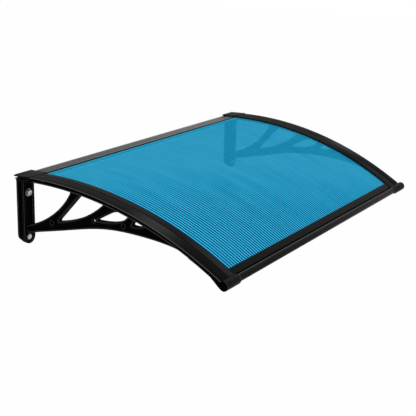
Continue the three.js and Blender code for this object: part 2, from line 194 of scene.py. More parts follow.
def softLoop(corners):  # (corner, rounding, via); a via bends the edge that leaves its corner
    edges = []
    for k, (at, rounding, via) in enumerate(corners):
        nextAt, nextRounding, _ = corners[(k + 1) % len(corners)]
        line = [bend(at, via or (at + nextAt) / 2, nextAt, t) for t in spread(0, 1, 80)]
        run = [0.0]
        for a, b in zip(line, line[1:]):
            run.append(run[-1] + (b - a).length)
        kept = [q for q, s in zip(line, run) if rounding <= s <= run[-1] - nextRounding]
        edges.append(kept[::4 if via else 20])  # a straight edge needs few points
    loop = []
    for k, edge in enumerate(edges):
        corner, nextEdge = corners[(k + 1) % len(corners)][0], edges[(k + 1) % len(edges)]
        loop += edge + [bend(edge[-1], corner, nextEdge[0], t) for t in spread(0, 1, 8)[1:-1]]
    return loop


# solids

weld, sliver = 2e-6, 1e-7  # in metres
# painted highlights along rounded edges stand in for the light these edges catch
edgeHighlights = {
    "smooth": 34.0,  # degrees, sharper edges stay sharp
    "turn": (14.0, 70.0),  # what counts as a rounding
    "narrow": 1.3,
    "edgeHighlight": 0.8,
    "noHighlight": 0.01,  # marks a face that gets no painted highlight
}


def newMesh():
    bm = bmesh.new()
    bm.faces.layers.float.new("edgeHighlight")  # 0 to 1, how much painted highlight a face gets
    return bm


def markFaces(bm, test, edgeHighlight=None, finish=None):  # test takes a face's middle in mm; the keywords set the face's painted highlight and its finish
    layer = bm.faces.layers.float["edgeHighlight"]
    for f in bm.faces:
        if test(f.calc_center_median() / mm):
            f[layer] = f[layer] if edgeHighlight is None else edgeHighlight
            f.material_index = f.material_index if finish is None else finish


def addLoft(bm, rows):
    made = [[bm.verts.new(p) for p in row] for row in rows]
    for near, far in zip(made, made[1:]):
        for k in range(len(near)):
            j = (k + 1) % len(near)
            bm.faces.new((near[k], near[j], far[j], far[k]))
    bm.faces.new(made[0][::-1])
    bm.faces.new(made[-1])


def addPrism(bm, loop, near, far, edge, place):
    rows = []
    for t in spread(0, math.pi / 2, 3):  # the near end's rounding, then the far end's
        rows.append((edge * (math.sin(t) - 1), near + edge * (1 - math.cos(t))))
    rows += [(inset, near + far - depth) for inset, depth in rows[::-1]]
    addLoft(bm, [[place(q.x, q.y, depth) for q in grown(loop, inset)] for inset, depth in rows])


def addPlate(bm, loops, near, far, edge, place):  # the first loop is the outside, the others are holes
    curve = bpy.data.curves.new("plate", "CURVE")
    curve.dimensions = "2D"
    curve.fill_mode = "BOTH"
    curve.extrude = (far - near) / 2 - edge
    curve.bevel_depth = edge
    curve.bevel_resolution = 1
    curve.offset = -edge
    for loop in loops:
        spline = curve.splines.new("POLY")
        spline.points.add(len(loop) - 1)
        for point, q in zip(spline.points, loop):
            point.co = (q.x, q.y, 0, 1)
        spline.use_cyclic_u = True
    holder = bpy.data.objects.new("plate", curve)
    scene.collection.objects.link(holder)
    mesh = bpy.data.meshes.new_from_object(holder.evaluated_get(bpy.context.evaluated_depsgraph_get()))
    middle = (near + far) / 2
    for v in mesh.vertices:
        v.co = place(v.co.x, v.co.y, v.co.z + middle)
    bm.from_mesh(mesh)
    bpy.data.objects.remove(holder)
    bpy.data.curves.remove(curve)
    bpy.data.meshes.remove(mesh)


def addLathe(bm, profile, place, count=48):  # profile is (radius, depth), from the axis round to the axis
    addLoft(bm, [[place(q.x, q.y, depth) for q in ring(0, 0, r, count)] for r, depth in profile])


def addBowed(bm, section, angles, hand, tail=()):
    rows = [[(bowPoint(angle, q.y), q.x) for q in section] for angle in angles]
    rows += [[(atFront(u, q.y), q.x) for q in section] for u in tail]  # straight on past the sheet's edge
    place = sideways(hand)
    addLoft(bm, [[place(spot.x, spot.y, x) for spot, x in row] for row in rows])


def addPiece(name, bm, slot, finishes, *nodes):
    bmesh.ops.remove_doubles(bm, verts=bm.verts, dist=weld)
    bmesh.ops.dissolve_degenerate(bm, edges=bm.edges, dist=sliver)
    bmesh.ops.recalc_face_normals(bm, faces=bm.faces)
    low, high = (math.radians(a) for a in edgeHighlights["turn"])
    for e in bm.edges:
        e.smooth = e.calc_face_angle(0.0) < math.radians(edgeHighlights["smooth"])
    edgeHighlight = bm.faces.layers.float["edgeHighlight"]
    for f in bm.faces:  # the narrow faces that round an edge off get a painted highlight too
        f.smooth = True
        longest = max(e.calc_length() for e in f.edges)
        sides = [e for e in f.edges if e.calc_length() > longest / 2]
        turns = [e for e in sides if low < e.calc_face_angle(0.0) < high]
        if len(turns) > 1 and f.calc_area() < edgeHighlights["narrow"] * mm * longest and not f[edgeHighlight]:
            f[edgeHighlight] = edgeHighlights["edgeHighlight"]
    mesh = bpy.data.meshes.new(name)
    bm.to_mesh(mesh)
    bm.free()
    for finish in finishes:
        mesh.materials.append(finish)
    piece = bpy.data.objects.new(name, mesh)
    scene.collection.objects.link(piece)
    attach(piece, "root")
    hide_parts(*nodes)


# finishes

class Wire:  # a node's output that takes part in sums
    def __init__(self, paint, socket):
        self.paint = paint
        self.socket = socket

    def sum(self, operation, a, b):
        return self.paint.node("ShaderNodeMath", {"operation": operation}, [a, b])

    def __add__(self, other):
        return self.sum("ADD", self, other)

    def __sub__(self, other):
        return self.sum("SUBTRACT", self, other)

    def __rsub__(self, other):
        return self.sum("SUBTRACT", other, self)

    def __mul__(self, other):
        return self.sum("MULTIPLY", self, other)

    def __truediv__(self, other):
        return self.sum("DIVIDE", self, other)

    def __rtruediv__(self, other):
        return self.sum("DIVIDE", other, self)

    __radd__ = __add__
    __rmul__ = __mul__


class Paint:  # one material's node tree
    def __init__(self, name, owner=None):
        self.material = owner or bpy.data.materials.new(name)
        self.material.use_nodes = True
        self.tree = self.material.node_tree
        self.tree.nodes.clear()

    def node(self, kind, settings=None, inputs=(), output=0):
        made = self.tree.nodes.new(kind)
        for key, value in (settings or {}).items():
            setattr(made, key, value)
        for key, value in inputs.items() if isinstance(inputs, dict) else enumerate(inputs):
            if isinstance(value, Wire):
                self.tree.links.new(value.socket, made.inputs[key])
            else:
                made.inputs[key].default_value = value
        return Wire(self, made.outputs[output]) if made.outputs else None

    def blend(self, factor, a, b):
        return self.node("ShaderNodeMix", {"data_type": "RGBA"}, {0: factor, 6: a, 7: b}, 2)

    def step(self, value, low, high):  # 0 up to low, 1 from high on
        return self.node("ShaderNodeMapRange", {"interpolation_type": "SMOOTHSTEP"}, [value, low, high])

    def size(self, value):  # without its sign
        return self.node("ShaderNodeMath", {"operation": "ABSOLUTE"}, [value])

    def noise(self, place, scale, detail=3.0):
        return self.node("ShaderNodeTexNoise", None, {"Vector": place, "Scale": scale, "Detail": detail})

    def drawnOut(self, place, scales, detail=3.0):  # noise with its own scale along each axis
        drawn = self.node("ShaderNodeVectorMath", {"operation": "MULTIPLY"}, [place, scales])
        return self.noise(drawn, 1.0, detail)

    def objectPlace(self):
        return self.node("ShaderNodeTexCoord", None, (), "Object")

    def axis(self, place, letter):
        return self.node("ShaderNodeSeparateXYZ", None, [place], letter)

    # how much painted highlight a face gets
    def edgeHighlight(self):
        return self.node("ShaderNodeAttribute", {"attribute_name": "edgeHighlight"}, (), "Fac")

    def bump(self, height, strength, distance):
        sockets = {"Height": height, "Strength": strength, "Distance": distance}
        return self.node("ShaderNodeBump", None, sockets)

    def shown(self):  # 1 for rays that show the background: straight, mirrored or seen through the sheet
        camera, glossy, through = (self.node("ShaderNodeLightPath", None, (), f"Is {kind} Ray")
                                   for kind in ("Camera", "Glossy", "Transmission"))
        return camera.sum("MAXIMUM", camera.sum("MAXIMUM", camera, glossy), through)

    def surface(self, inputs):
        shader = self.node("ShaderNodeBsdfPrincipled", None, inputs)
        self.node("ShaderNodeOutputMaterial", None, {"Surface": shader})
        return self.material


# what all finishes of a kind share
mouldedBase = {
    "cloud": 22.0,
    "cloudRange": (0.3, 0.7),
    "specks": 160.0,
    "speckRange": (0.62, 0.78),
    "speckShare": 0.35,
    "speckRough": 0.12,
    "edgeLeast": 0.75,
    "edgeSpread": 0.4,
    "roughSpread": 0.22,
    "grainScale": 1900.0,
    "grain": 0.18,
    "grainDeep": 0.0004,
}
extrudedBase = {
    "lines": (3.0, 900.0, 900.0),  # die lines along X
    "lineShare": 0.7,
    "cloud": (12.0, 40.0, 40.0),
    "scuffs": (60.0, 420.0, 420.0),
    "scuffRange": (0.66, 0.8),
    "scuffShare": 0.4,
    "scuffRough": 0.1,
    "edgeLeast": 0.7,
    "edgeSpread": 0.4,
    "roughSpread": 0.2,
    "grain": 0.15,
    "grainDeep": 0.0002,
    "metal": 0.0,
}
zincBase = {
    "flakes": 420.0,
    "flakeShare": 0.6,
    "cloud": 140.0,
    "roughSpread": 0.3,
    "grain": 0.12,
    "grainDeep": 0.0003,
    "metal": 0.75,
}


def mouldedFinish(name, changes):
    look = {**mouldedBase, **changes}
    paint = Paint(name)
    place = paint.objectPlace()
    grain = paint.noise(place, look["grainScale"], 2.0)
    cloud = paint.noise(place, look["cloud"], 4.0)
    dust = paint.step(paint.noise(place, look["specks"], 5.0), *look["speckRange"])
    tone = paint.blend(paint.step(cloud, *look["cloudRange"]), look["dark"], look["light"])
    if "paintedBand" in look:  # painted light along the bow: a painted tone towards the front and a painted band, a highlight on the matt strip and shade on the satin strip
        y = paint.axis(place, "Y")
        ahead = paint.step(0 - y, look["frontStart"], look["frontFull"])
        near = paint.step(paint.size(y + look["paintedBandAt"]), look["paintedBandReach"], 0.0)
        tone = paint.blend(ahead, tone, look["front"])
        tone = paint.blend(near, tone, look["paintedBand"])
    # painted highlight along the marked edges
    highlit = paint.edgeHighlight() * (look["edgeLeast"] + cloud * look["edgeSpread"])
    tone = paint.blend(highlit, tone, look["edge"])
    return paint.surface({
        "Base Color": paint.blend(dust * look["speckShare"], tone, look["dust"]),
        "Roughness": look["rough"] + (cloud - 0.5) * look["roughSpread"] + dust * look["speckRough"],
        "Specular IOR Level": look["gloss"],
        "Normal": paint.bump(grain, look["grain"], look["grainDeep"]),
    })


def extrudedFinish(name, changes):
    look = {**extrudedBase, **changes}
    paint = Paint(name)
    place = paint.objectPlace()
    lines = paint.drawnOut(place, look["lines"])
    cloud = paint.drawnOut(place, look["cloud"], 4.0)
    scuff = paint.step(paint.drawnOut(place, look["scuffs"], 4.0), *look["scuffRange"])
    mottle = lines * look["lineShare"] + cloud * (1 - look["lineShare"])
    # painted highlight along the marked edges
    highlit = paint.edgeHighlight() * (look["edgeLeast"] + lines * look["edgeSpread"])
    tone = paint.blend(highlit, paint.blend(mottle, look["dark"], look["light"]), look["edge"])
    return paint.surface({
        "Base Color": paint.blend(scuff * look["scuffShare"], tone, look["scuff"]),
        "Metallic": look["metal"],
        "Roughness": look["rough"] + (lines - 0.5) * look["roughSpread"] + scuff * look["scuffRough"],
        "Specular IOR Level": look["gloss"],
        "Normal": paint.bump(lines, look["grain"], look["grainDeep"]),
    })


def zincFinish(name, changes):
    look = {**zincBase, **changes}
    paint = Paint(name)
    place = paint.objectPlace()
    cells = paint.node("ShaderNodeTexVoronoi", None, {"Vector": place, "Scale": look["flakes"]}, "Color")
    flake = paint.node("ShaderNodeSeparateColor", None, [cells])
    cloud = paint.noise(place, look["cloud"], 4.0)
    mottle = flake * look["flakeShare"] + cloud * (1 - look["flakeShare"])
    return paint.surface({
        "Base Color": paint.blend(mottle, look["dark"], look["light"]),
        "Metallic": look["metal"],
        "Roughness": look["rough"] + (cloud - 0.5) * look["roughSpread"],
        "Normal": paint.bump(cloud, look["grain"], look["grainDeep"]),
    })


def sheetFinish(name, look):
    paint = Paint(name)
    place = paint.objectPlace()
    x, y = paint.axis(place, "X"), paint.axis(place, "Y")
    flute = (x + look["firstRib"]) / look["pitch"] + 200.0  # counted up so that it stays above 0
    turn = paint.node("ShaderNodeMath", {"operation": "FRACT"}, [flute])
    offRib = paint.size(turn - 0.5) * 2.0  # 1 over a rib, 0 between

    # a patchy film of dust softens the ribs towards the wall and the far side
    film = paint.drawnOut(place, look["film"], 4.0) - 0.5
    side = (x + look["clearSide"]) * look["clearTurn"]
    clear = paint.step(film * look["filmShare"] - y - side, *look["clearRange"])
    contrast = look["leastRib"] + clear * (1 - look["leastRib"])
    rib = (paint.step(offRib, *look["ribRange"]) - 0.5) * contrast + 0.5

    # light caught down each flute, some shine more than others
    glint = (paint.step(offRib, *look["glintRange"]) - look["glintMean"]) * contrast + look["glintMean"]
    glint = glint * (look["unevenLeast"] + paint.drawnOut(place, look["uneven"]) * look["unevenSpread"])
    streak = paint.step(paint.drawnOut(place, look["rain"], 4.0), *look["rainRange"])  # down the flutes
    speck = paint.noise(place, look["specks"], 2.0)

    tone = paint.blend(rib, look["light"], look["dark"])
    tone = paint.blend(glint, tone, look["glint"])
    tone = paint.blend(streak * look["rainShare"], tone, look["deep"])
    glow = paint.step(0 - y, look["glowEnd"], look["railShade"])
    tone = paint.blend(glow * look["glowShare"], tone, look["glow"])
    railShade = paint.step(0 - y, look["railShade"], look["railShade"] - look["railShadeFade"])  # painted shade along the rear rail
    return paint.surface({
        "Base Color": paint.blend(railShade, tone, look["railShadeTone"]),
        "Roughness": look["rough"] + speck * look["roughSpread"],
        "IOR": look["bendLight"],
        "Transmission Weight": look["seeThrough"],
        "Alpha": 1 - glint * (1 - railShade) * (1 - clear * look["clearCloses"]) * look["openGlint"],
        "Normal": paint.bump(speck, look["grain"], look["grainDeep"]),
    })


shadeBlack = mouldedFinish("shade_black", {  # deep grooves and hidden faces on all black pieces
    "dark": (0.0004, 0.0004, 0.0005, 1),
    "light": (0.001, 0.001, 0.0011, 1),
    "dust": (0.004, 0.004, 0.004, 1),
    "edge": (0.001, 0.001, 0.001, 1),
    "rough": 0.6,
    "gloss": 0.006,
})
print("shared finish made")


# roof sheet

sheet = {"thick": 6.0, "flutes": 99, "columns": 4, "rows": 36, "sink": 0.22}
blueSheet = sheetFinish("blue_twin_wall", {
    "light": (0.014, 0.585, 0.87, 1),
    "dark": (0.0, 0.05, 0.21, 1),
    "glint": (0.07, 0.68, 0.94, 1),
    "deep": (0.001, 0.20, 0.42, 1),
    "firstRib": 0.4751,
    "pitch": 0.0095980,
    "ribRange": (0.38, 0.62),
    "leastRib": 0.18,
    "glintRange": (0.36, 0.08),
    "glintMean": 0.22,
    "uneven": (330.0, 9.0, 9.0),
    "unevenLeast": 0.1,
    "unevenSpread": 1.8,
    "film": (26.0, 7.0, 7.0),
    "filmShare": 0.36,
    "clearSide": 0.42,
    "clearTurn": 0.46,
    "clearRange": (0.06, 0.42),
    "rain": (70.0, 1.6, 1.6),
    "rainRange": (0.35, 0.7),
    "rainShare": 0.16,
    "specks": 700.0,
    "rough": 0.07,
    "roughSpread": 0.06,
    "grain": 0.04,
    "grainDeep": 0.0002,
    "bendLight": 1.0005,  # near 1, so that what is behind isn't shifted
    "seeThrough": 0.34,
    "openGlint": 0.4,
    "clearCloses": 0.6,
    # painted shade along the rear rail
    "railShade": 0.0466,
    "railShadeFade": 0.0012,
    "railShadeTone": (0.003, 0.03, 0.045, 1),
    "glowEnd": 0.068,  # light gathers at the rear end of the flutes
    "glowShare": 0.75,
    "glow": (0.055, 0.66, 0.95, 1),
})


def roofSheet():
    bm = newMesh()
    count = sheet["flutes"] * sheet["columns"]
    place = sideways()
    rows = []
    for angle in spread(rearEdge, frontEdge, sheet["rows"]):
        over, under = [], []
        for k in range(count + 1):
            x = across["sheet"] * (2 * k / count - 1)
            sunk = sheet["sink"] * math.sin(math.pi * k / sheet["columns"]) ** 2  # the skin dips between ribs
            for skin, lift in ((over, -sunk), (under, sunk - sheet["thick"])):
                spot = bowPoint(angle, lift)
                skin.append(place(spot.x, spot.y, x))
        rows.append(over + under[::-1])
    addLoft(bm, rows)
    addPiece("roof_sheet_blue", bm, "roof_sheet", [blueSheet], "roof_sheet")


roofSheet()
print("sheet made")


# front rail

rail = {
    "noseAlong": 30.5,
    "noseLift": 0.9,
    "noseRadius": 11.6,
    "beadRadius": 8.6,
    "crest": (112.0, 138.0),  # degrees round the bead
    "lip": 1.7,
    "slotRoom": 0.5,
    "groove": 4.0,
    "grooveFloor": -1.4,
    "beadStop": 0.8,  # how low the bead ends, in its radii
    "inNose": 6.0,
    "edge": 0.15,
    "beadEdge": 0.3,
}
blackRail = extrudedFinish("black_extrusion", {
    "dark": (0.0045, 0.0045, 0.0046, 1),
    "light": (0.009, 0.009, 0.0092, 1),
    "scuff": (0.02, 0.02, 0.02, 1),
    "edge": (0.02, 0.02, 0.02, 1),
    "rough": 0.46,
    "gloss": 0.019,
})
blackBead = extrudedFinish("black_bead", {
    "dark": (0.006, 0.006, 0.0061, 1),
    "light": (0.01, 0.01, 0.0102, 1),
    "scuff": (0.02, 0.02, 0.02, 1),
    "edge": (0.075, 0.075, 0.073, 1),
    "rough": 0.36,
    "gloss": 0.02,
})
nose = atFront(rail["noseAlong"], rail["noseLift"])


def offNose(q):  # how far a scene point is from the nose's axis
    return math.hypot(q.y + nose.x, q.z - nose.y)


def frontRail():
    bm = newMesh()
    gap, r = bow["gap"], rail["beadRadius"]
    top, bottom = gap + rail["lip"], plate["top"] - rail["lip"]
    slotEnd = bow["frontTuck"] + rail["slotRoom"]
    start = math.pi - math.asin((rail["grooveFloor"] - rail["noseLift"]) / r)
    end = math.asin(rail["beadStop"]) - math.pi
    bead = [Vector((rail["noseAlong"] + r * math.cos(t), rail["noseLift"] + r * math.sin(t)))
            for t in spread(start, end, 40)]
    edge = bead[0].x - rail["groove"]
    flange = [(slotEnd, gap), (0, gap), (0, top), (edge, top), (edge, rail["grooveFloor"]), bead[0]]
    under = [bead[-1], (slotEnd + 2, bottom), (0, bottom), (0, plate["top"]), (slotEnd, plate["top"])]
    flange = soften(flange, [0, 0.2, 0.7, 0.6, 0.3, 0], closed=False)
    under = soften(under, [0, 1.5, 0.6, 0.3, 0], closed=False)
    outline = [atFront(q.x, q.y) for q in flange[:-1] + bead + under[1:]]
    half = across["open"] - gap
    addPrism(bm, outline, -half, half, rail["edge"], sideways())
    beadEnd = across["noseEnd"] - rail["inNose"]
    for hand in (-1, 1):  # the bead goes on into the brackets' noses
        addPrism(bm, ring(nose.x, nose.y, r), half - 1, beadEnd, rail["beadEdge"], sideways(hand))

    def onCrest(q):  # a painted highlight runs along the bead, just in front of the groove
        u, v = frontSpot(q)
        turn = math.degrees(math.atan2(v - rail["noseLift"], u - rail["noseAlong"]))
        return abs(offNose(q) - r) < 0.3 and rail["crest"][0] < turn < rail["crest"][1]

    # painted shade: the groove takes the near-black shade finish
    def inGroove(q):
        u, v = frontSpot(q)
        return abs(q.x) < half - 0.2 and edge - 0.3 < u < bead[0].x + 1 and v < top - 0.5

    markFaces(bm, lambda q: offNose(q) < r + 0.2, finish=1)
    markFaces(bm, onCrest, edgeHighlight=0.9)
    markFaces(bm, inGroove, edgeHighlight=edgeHighlights["noHighlight"], finish=2)
    addPiece("front_rail_black", bm, "black_rail", [blackRail, blackBead, shadeBlack], "front_rail")


frontRail()
print("front rail made")


# rear rail

wallRail = {
    "top": 2.3,
    "round": 7.0,
    "drop": 3.5,
    "lines": 4,
    "line": [(1.2, 0), (0.9, 0.9), (-0.9, 0.9), (-1.2, 0)],  # one groove, along and down
    "rim": 3.0,
}
bareRail = extrudedFinish("bare_aluminium", {
    "dark": (0.018, 0.0176, 0.0166, 1),
    "light": (0.05, 0.0489, 0.0462, 1),
    "scuff": (0.09, 0.088, 0.084, 1),
    "edge": (0.07, 0.0685, 0.065, 1),
    "metal": 0.85,
    "rough": 0.4,
    "gloss": 0.5,
    "grain": 0.35,
})


def rearRail():
    bm = newMesh()
    gap, top, bottom = bow["gap"], wallRail["top"], plate["top"] - rail["lip"]
    slotEnd = bow["rear"] - bow["rearStop"] + rail["slotRoom"]
    floor = rearLine(0, bottom).y
    shelf = rearLine(wallRail["round"], top).y
    low, corner = Vector((0, shelf - wallRail["drop"])), Vector((0, shelf))
    high = Vector((wallRail["round"], shelf))
    outline = [Vector((0, floor))] + [bend(low, corner, high, t) for t in spread(0, 1, 8)]
    step = (slotEnd - 2 * wallRail["rim"]) / wallRail["lines"]
    for k in range(wallRail["lines"]):  # fine grooves along the top
        u = slotEnd - wallRail["rim"] - k * step
        outline += [atRear(u + shift, top - depth) for shift, depth in wallRail["line"]]
    lips = [(4, top), (0, top), (0, gap), (slotEnd, gap), (slotEnd, plate["top"]), (0, plate["top"]),
            (0, bottom), (4, bottom)]  # the outer two only steer the roundings
    lips = soften(lips, [0, 0.6, 0.2, 0.2, 0.2, 0.2, 0.6, 0], closed=False)[1:-1]
    outline += [atRear(q.x, q.y) for q in lips]
    addPrism(bm, outline, -across["rearEnd"], across["rearEnd"], rail["edge"], sideways())

    def onLip(q):  # the edge over the sheet is always in shade
        return -q.y > bow["rear"] - 0.5 and 0 < q.z - bow["crownUp"] < rail["lip"]

    markFaces(bm, onLip, edgeHighlight=edgeHighlights["noHighlight"], finish=1)
    addPiece("rear_rail_bare", bm, "bare_rail", [bareRail, shadeBlack], "rear_rail")


rearRail()
print("rear rail made")


# side brackets

truss = {
    "topDrop": 7.65,
    "rimDrop": 7.0,  # the cut-outs' rims end inside the plate, the cut-outs just under it
    "cutDrop": 9.6,
    "armDrop": 142.5,
    "armTip": 0.854,
    "tipDrop": 2.2,
    "chin": (-0.57, -0.8),  # on the nose, in its radii
    "throat": (2.2, 1.5),  # radii behind the nose, and below the top
    "swell": 2.8,
    "wide": 16.0,
    "web": 6.0,
    "rim": 3.5,
    "eye": 4.5,
    "boss": 7.0,
    "lowBoss": 1.5,
    "inPost": 15.8,
    "edge": 1.0,
    "webEdge": 0.3,
    "bossEdge": 0.6,
    # reach and drop as shares of the opening and the arm
    "lower": [(0.301, 0.672), (0.594, 0.146)],
    "eyes": [(0.1752, 0.72), (0.3968, 0.448), (0.5505, 0.294)],
}
post = {
    "depth": 22.8,
    "back": 4.5,
    "front": 6.0,
    "wide": 38.4,
    "bodyWide": 26.0,
    "foot": 151.1,
    "wallFootLift": 5.0,
    "pocketWide": 23.5,
    "pocketDeep": 3.5,
    "footDeep": 8.5,
    "footRadius": 11.2,
    "footInset": 0.4,
    "crossRim": 7.0,
    "topRim": 4.0,
    "pocketRound": 2.0,
    "bolts": [42.0, 153.7],  # below the crown
    "edge": 1.0,
    "hiddenEdge": 0.1,
}
seat = {
    "top": -8.3,
    "thick": 3.0,
    "front": 6.0,
    "stopDrop": 2.0,
    "stopWide": 3.4,
    "brimTop": -2.1,
    "brimThick": 3.0,
    "deep": 14.0,
    "edge": 0.5,
    "brimEdge": 0.7,
}
cheek = {
    "from": 490.0,
    "backDrop": 7.0,
    "chin": (-0.15, -0.96),  # on the nose, in its radii
    "thick": 5.0,
    "edge": 0.3,
    "points": [(546, 10.6), (556, 13.2), (566, 15.8), (574, 16.8)],  # out and drop
}
cup = {"rim": 1.8, "edge": 0.8, "sunk": 1.6, "collar": 7.0, "deep": 8.0, "room": 0.12}
blackBracket = mouldedFinish("moulded_black", {
    "dark": (0.0005, 0.0005, 0.0006, 1),
    "light": (0.0014, 0.0014, 0.0015, 1),
    "dust": (0.007, 0.007, 0.007, 1),
    "edge": (0.05, 0.05, 0.0485, 1),
    "grainScale": 1500.0,
    "grain": 0.25,
    "rough": 0.46,
    "gloss": 0.009,
})
# the nose's black, painted lighter than the rest of the bracket: a painted highlight on the round nose
litNoseBlack = mouldedFinish("nose_black_lit", {
    "dark": (0.003, 0.003, 0.0031, 1),
    "light": (0.005, 0.005, 0.0051, 1),
    "dust": (0.025, 0.025, 0.025, 1),
    "edge": (0.06, 0.06, 0.058, 1),
    "grainScale": 1500.0,
    "grain": 0.2,
    "rough": 0.42,
    "gloss": 0.022,
})


def trussTop(out):
    return belowBow(out, truss["topDrop"])


def armSpot(reach, drop):
    return belowBow(reach * bow["front"], drop * truss["armDrop"])


def cutOut(lower, via, front, rear, rounds, sink=0.0):  # sink lowers the rear upper corner
    a, b = trussTop(front * bow["front"]), trussTop(rear * bow["front"]) - Vector((0, sink))
    top = (a + b) / 2
    top.y = 2 * trussTop(top.x).y - top.y - sink
    return softLoop(list(zip([armSpot(*lower), a, b], rounds, [armSpot(*via), top, None])))


def underPlate(loop, drop):
    return [Vector((q.x, min(q.y, belowBow(q.x, drop).y))) for q in loop]


def addTruss(bm, place):
    inPost, r = truss["inPost"], rail["noseRadius"]
    root = inPost / bow["front"]
    tip = belowBow(truss["armTip"] * bow["front"], truss["topDrop"] + truss["rim"] + truss["tipDrop"])
    a, (b, c) = belowBow(inPost, truss["armDrop"]), [armSpot(*share) for share in truss["lower"]]
    under = []
    for t in spread(0, 1, 60):
        q = a * (1 - t) ** 3 + b * (3 * t * (1 - t) ** 2) + c * (3 * t * t * (1 - t)) + tip * t ** 3
        under.append(q - Vector((0, truss["swell"] * math.sin(math.tau * t) ** 2)))  # swells twice
    chin = nose + Vector(truss["chin"]) * r
    throat = belowBow(nose.x - truss["throat"][0] * r, truss["topDrop"] + truss["throat"][1])
    neck = [bend(tip, throat, chin, t) for t in spread(0, 1, 10)[1:]]
    top = []
    for out in spread(nose.x - r, inPost, 60):
        overSeat = out < bow["rear"] + seat["front"]
        top.append(rearLine(out, seat["top"] - seat["thick"] / 2) if overSeat else trussTop(out))
    cutOuts = [
        cutOut((root, 0.868), (0.216, 0.623), 0.286, root, [1, 13, 1]),
        cutOut((0.205, 0.676), (0.3624, 0.499), 0.46, 0.3356, [4, 7, 13], 2.0),
        cutOut((0.4104, 0.418), (0.556, 0.295), 0.578, 0.516, [4, 6, 22], 7.0),
        cutOut((0.588, 0.219), (0.64, 0.185), 0.666, 0.613, [3, 5, 4]),
    ]
    cutOuts = [underPlate(loop, truss["cutDrop"]) for loop in cutOuts]
    eyes = [ring(q.x, q.y, truss["eye"], 28) for q in (armSpot(*share) for share in truss["eyes"])]
    mid, web, half = across["mid"], truss["web"] / 2, truss["wide"] / 2
    addPlate(bm, [under + neck + top, *cutOuts, *eyes], mid - web, mid + web, truss["webEdge"], place)
    for loop in cutOuts:
        rim = underPlate(grown(loop, truss["rim"]), truss["rimDrop"])
        addPlate(bm, [rim, loop], mid - half, mid + half, truss["edge"], place)
    for loop, reach in zip(eyes, (half, web + truss["lowBoss"], half)):
        boss = grown(loop, truss["boss"] - truss["eye"])
        addPlate(bm, [boss, loop], mid - reach, mid + reach, truss["bossEdge"], place)
    lower = under + neck[:4]
    ceiling = 400.0  # closes the loop far above, so that only the lower edge moves
    closing = [Vector((lower[-1].x, ceiling)), Vector((lower[0].x, ceiling))]
    inner = grown(lower + closing, -truss["rim"])[:len(lower)]
    band = lower + underPlate(inner, truss["topDrop"])[::-1]
    addPlate(bm, [band], mid - half, mid + half, truss["edge"], place)


def postLoop(wide, top, foot, radius=None):  # a stem on a round foot, which may be wider
    mid, half, steps = across["mid"], wide / 2, 56 if radius else 28
    radius = radius or half
    start = math.asin(half / radius)
    arc = [Vector((mid - radius * math.sin(t), foot + radius * math.cos(t)))
           for t in spread(start, math.tau - start, steps)]
    return [Vector((mid + half, top)), Vector((mid - half, top))] + arc


def addPost(bm, place):
    mid, depth, back, wide = across["mid"], post["depth"], post["back"], post["wide"]
    seatLow = seat["top"] - seat["thick"]
    top = (rearLine(0, seat["top"]).y + rearLine(depth, seatLow).y) / 2
    footUp = bow["crownUp"] - post["bolts"][1]
    footHole = ring(mid, footUp, post["footRadius"])
    half = post["pocketWide"] / 2
    ceiling = rearLine(depth, seatLow).y - post["topRim"]
    sill = footUp + post["footRadius"] + post["crossRim"]
    pocket = soften(rectangle(mid - half, mid + half, sill, ceiling), post["pocketRound"])
    foot, lift, footRound = bow["crownUp"] - post["foot"], post["wallFootLift"], wide / 2 - post["footInset"]
    footFloor, faceBack = depth - post["footDeep"], depth - post["front"]
    lean = []
    for t in spread(0, 1, 4):  # the round foot leans from the wall flange to the front face
        loop = ring(mid, foot + lift * (1 - 0.8 * t) ** 3, footRound, 56)
        lean.append([place(q.x, q.y, back - 1 + t * (footFloor + 0.7 - back)) for q in loop])
    flange, face = postLoop(wide, top, foot + lift), postLoop(wide, top, foot)
    body, stem = postLoop(post["bodyWide"], top, foot), postLoop(post["bodyWide"], top, foot, footRound)
    edge, hidden = post["edge"], post["hiddenEdge"]
    addPlate(bm, [flange], 0, back, edge, place)
    addLoft(bm, lean)
    addPlate(bm, [body], 0.2, footFloor, hidden, place)  # from here on each runs a little into the next
    addPlate(bm, [stem, footHole], footFloor - 0.5, faceBack + 0.5, hidden, place)
    addPlate(bm, [face, pocket, footHole], faceBack, depth, edge, place)
    addPlate(bm, [grown(pocket, 1.0)], faceBack + 0.9, depth - post["pocketDeep"], hidden, place)


def addSeat(bm, place):
    front, top, low = coverStart + seat["front"], seat["top"], seat["top"] - seat["thick"]
    inner, outer, deep = across["inner"], across["outer"], seat["deep"]
    plateUp = 0.3 - plate["top"]
    ledge = [
        rearLine(0, top), rearLine(0, low), rearLine(coverStart, low), belowBow(front, -plate["bottom"]),
        belowBow(front, plateUp), belowBow(coverStart, plateUp), rearLine(coverStart, top),
    ]
    edge, brimEdge = seat["edge"], seat["brimEdge"]
    addPrism(bm, soften(ledge, 0.4, 2), inner, outer, edge, place)
    stop = rearBlock(0, deep, top - seat["stopDrop"], seat["brimTop"])
    brim = rearBlock(0, deep, seat["brimTop"] - seat["brimThick"], seat["brimTop"])
    addPrism(bm, soften(stop, edge, 2), outer - seat["stopWide"], outer, edge, place)
    addPrism(bm, soften(brim, brimEdge, 2), outer - seat["stopWide"], across["cap"], brimEdge, place)


def addCheek(bm, place):  # fills the side between the rim and the nose
    start, outer = cheek["from"], across["outer"]
    edge = [belowBow(start, 1 - plate["rimBottom"]), belowBow(start + 20, 0.6 - plate["rimBottom"])]
    edge += [belowBow(out, drop) for out, drop in cheek["points"]]
    back = [belowBow(out, cheek["backDrop"]) for out in spread(nose.x - 9, start, 8)]
    loop = edge + [nose + Vector(cheek["chin"]) * rail["noseRadius"], nose] + back
    addPrism(bm, loop, outer - cheek["thick"], outer - 0.05, cheek["edge"], place)
    # painted shade: the whole cheek takes the near-black shade finish
    markFaces(bm, lambda q: True, finish=2)


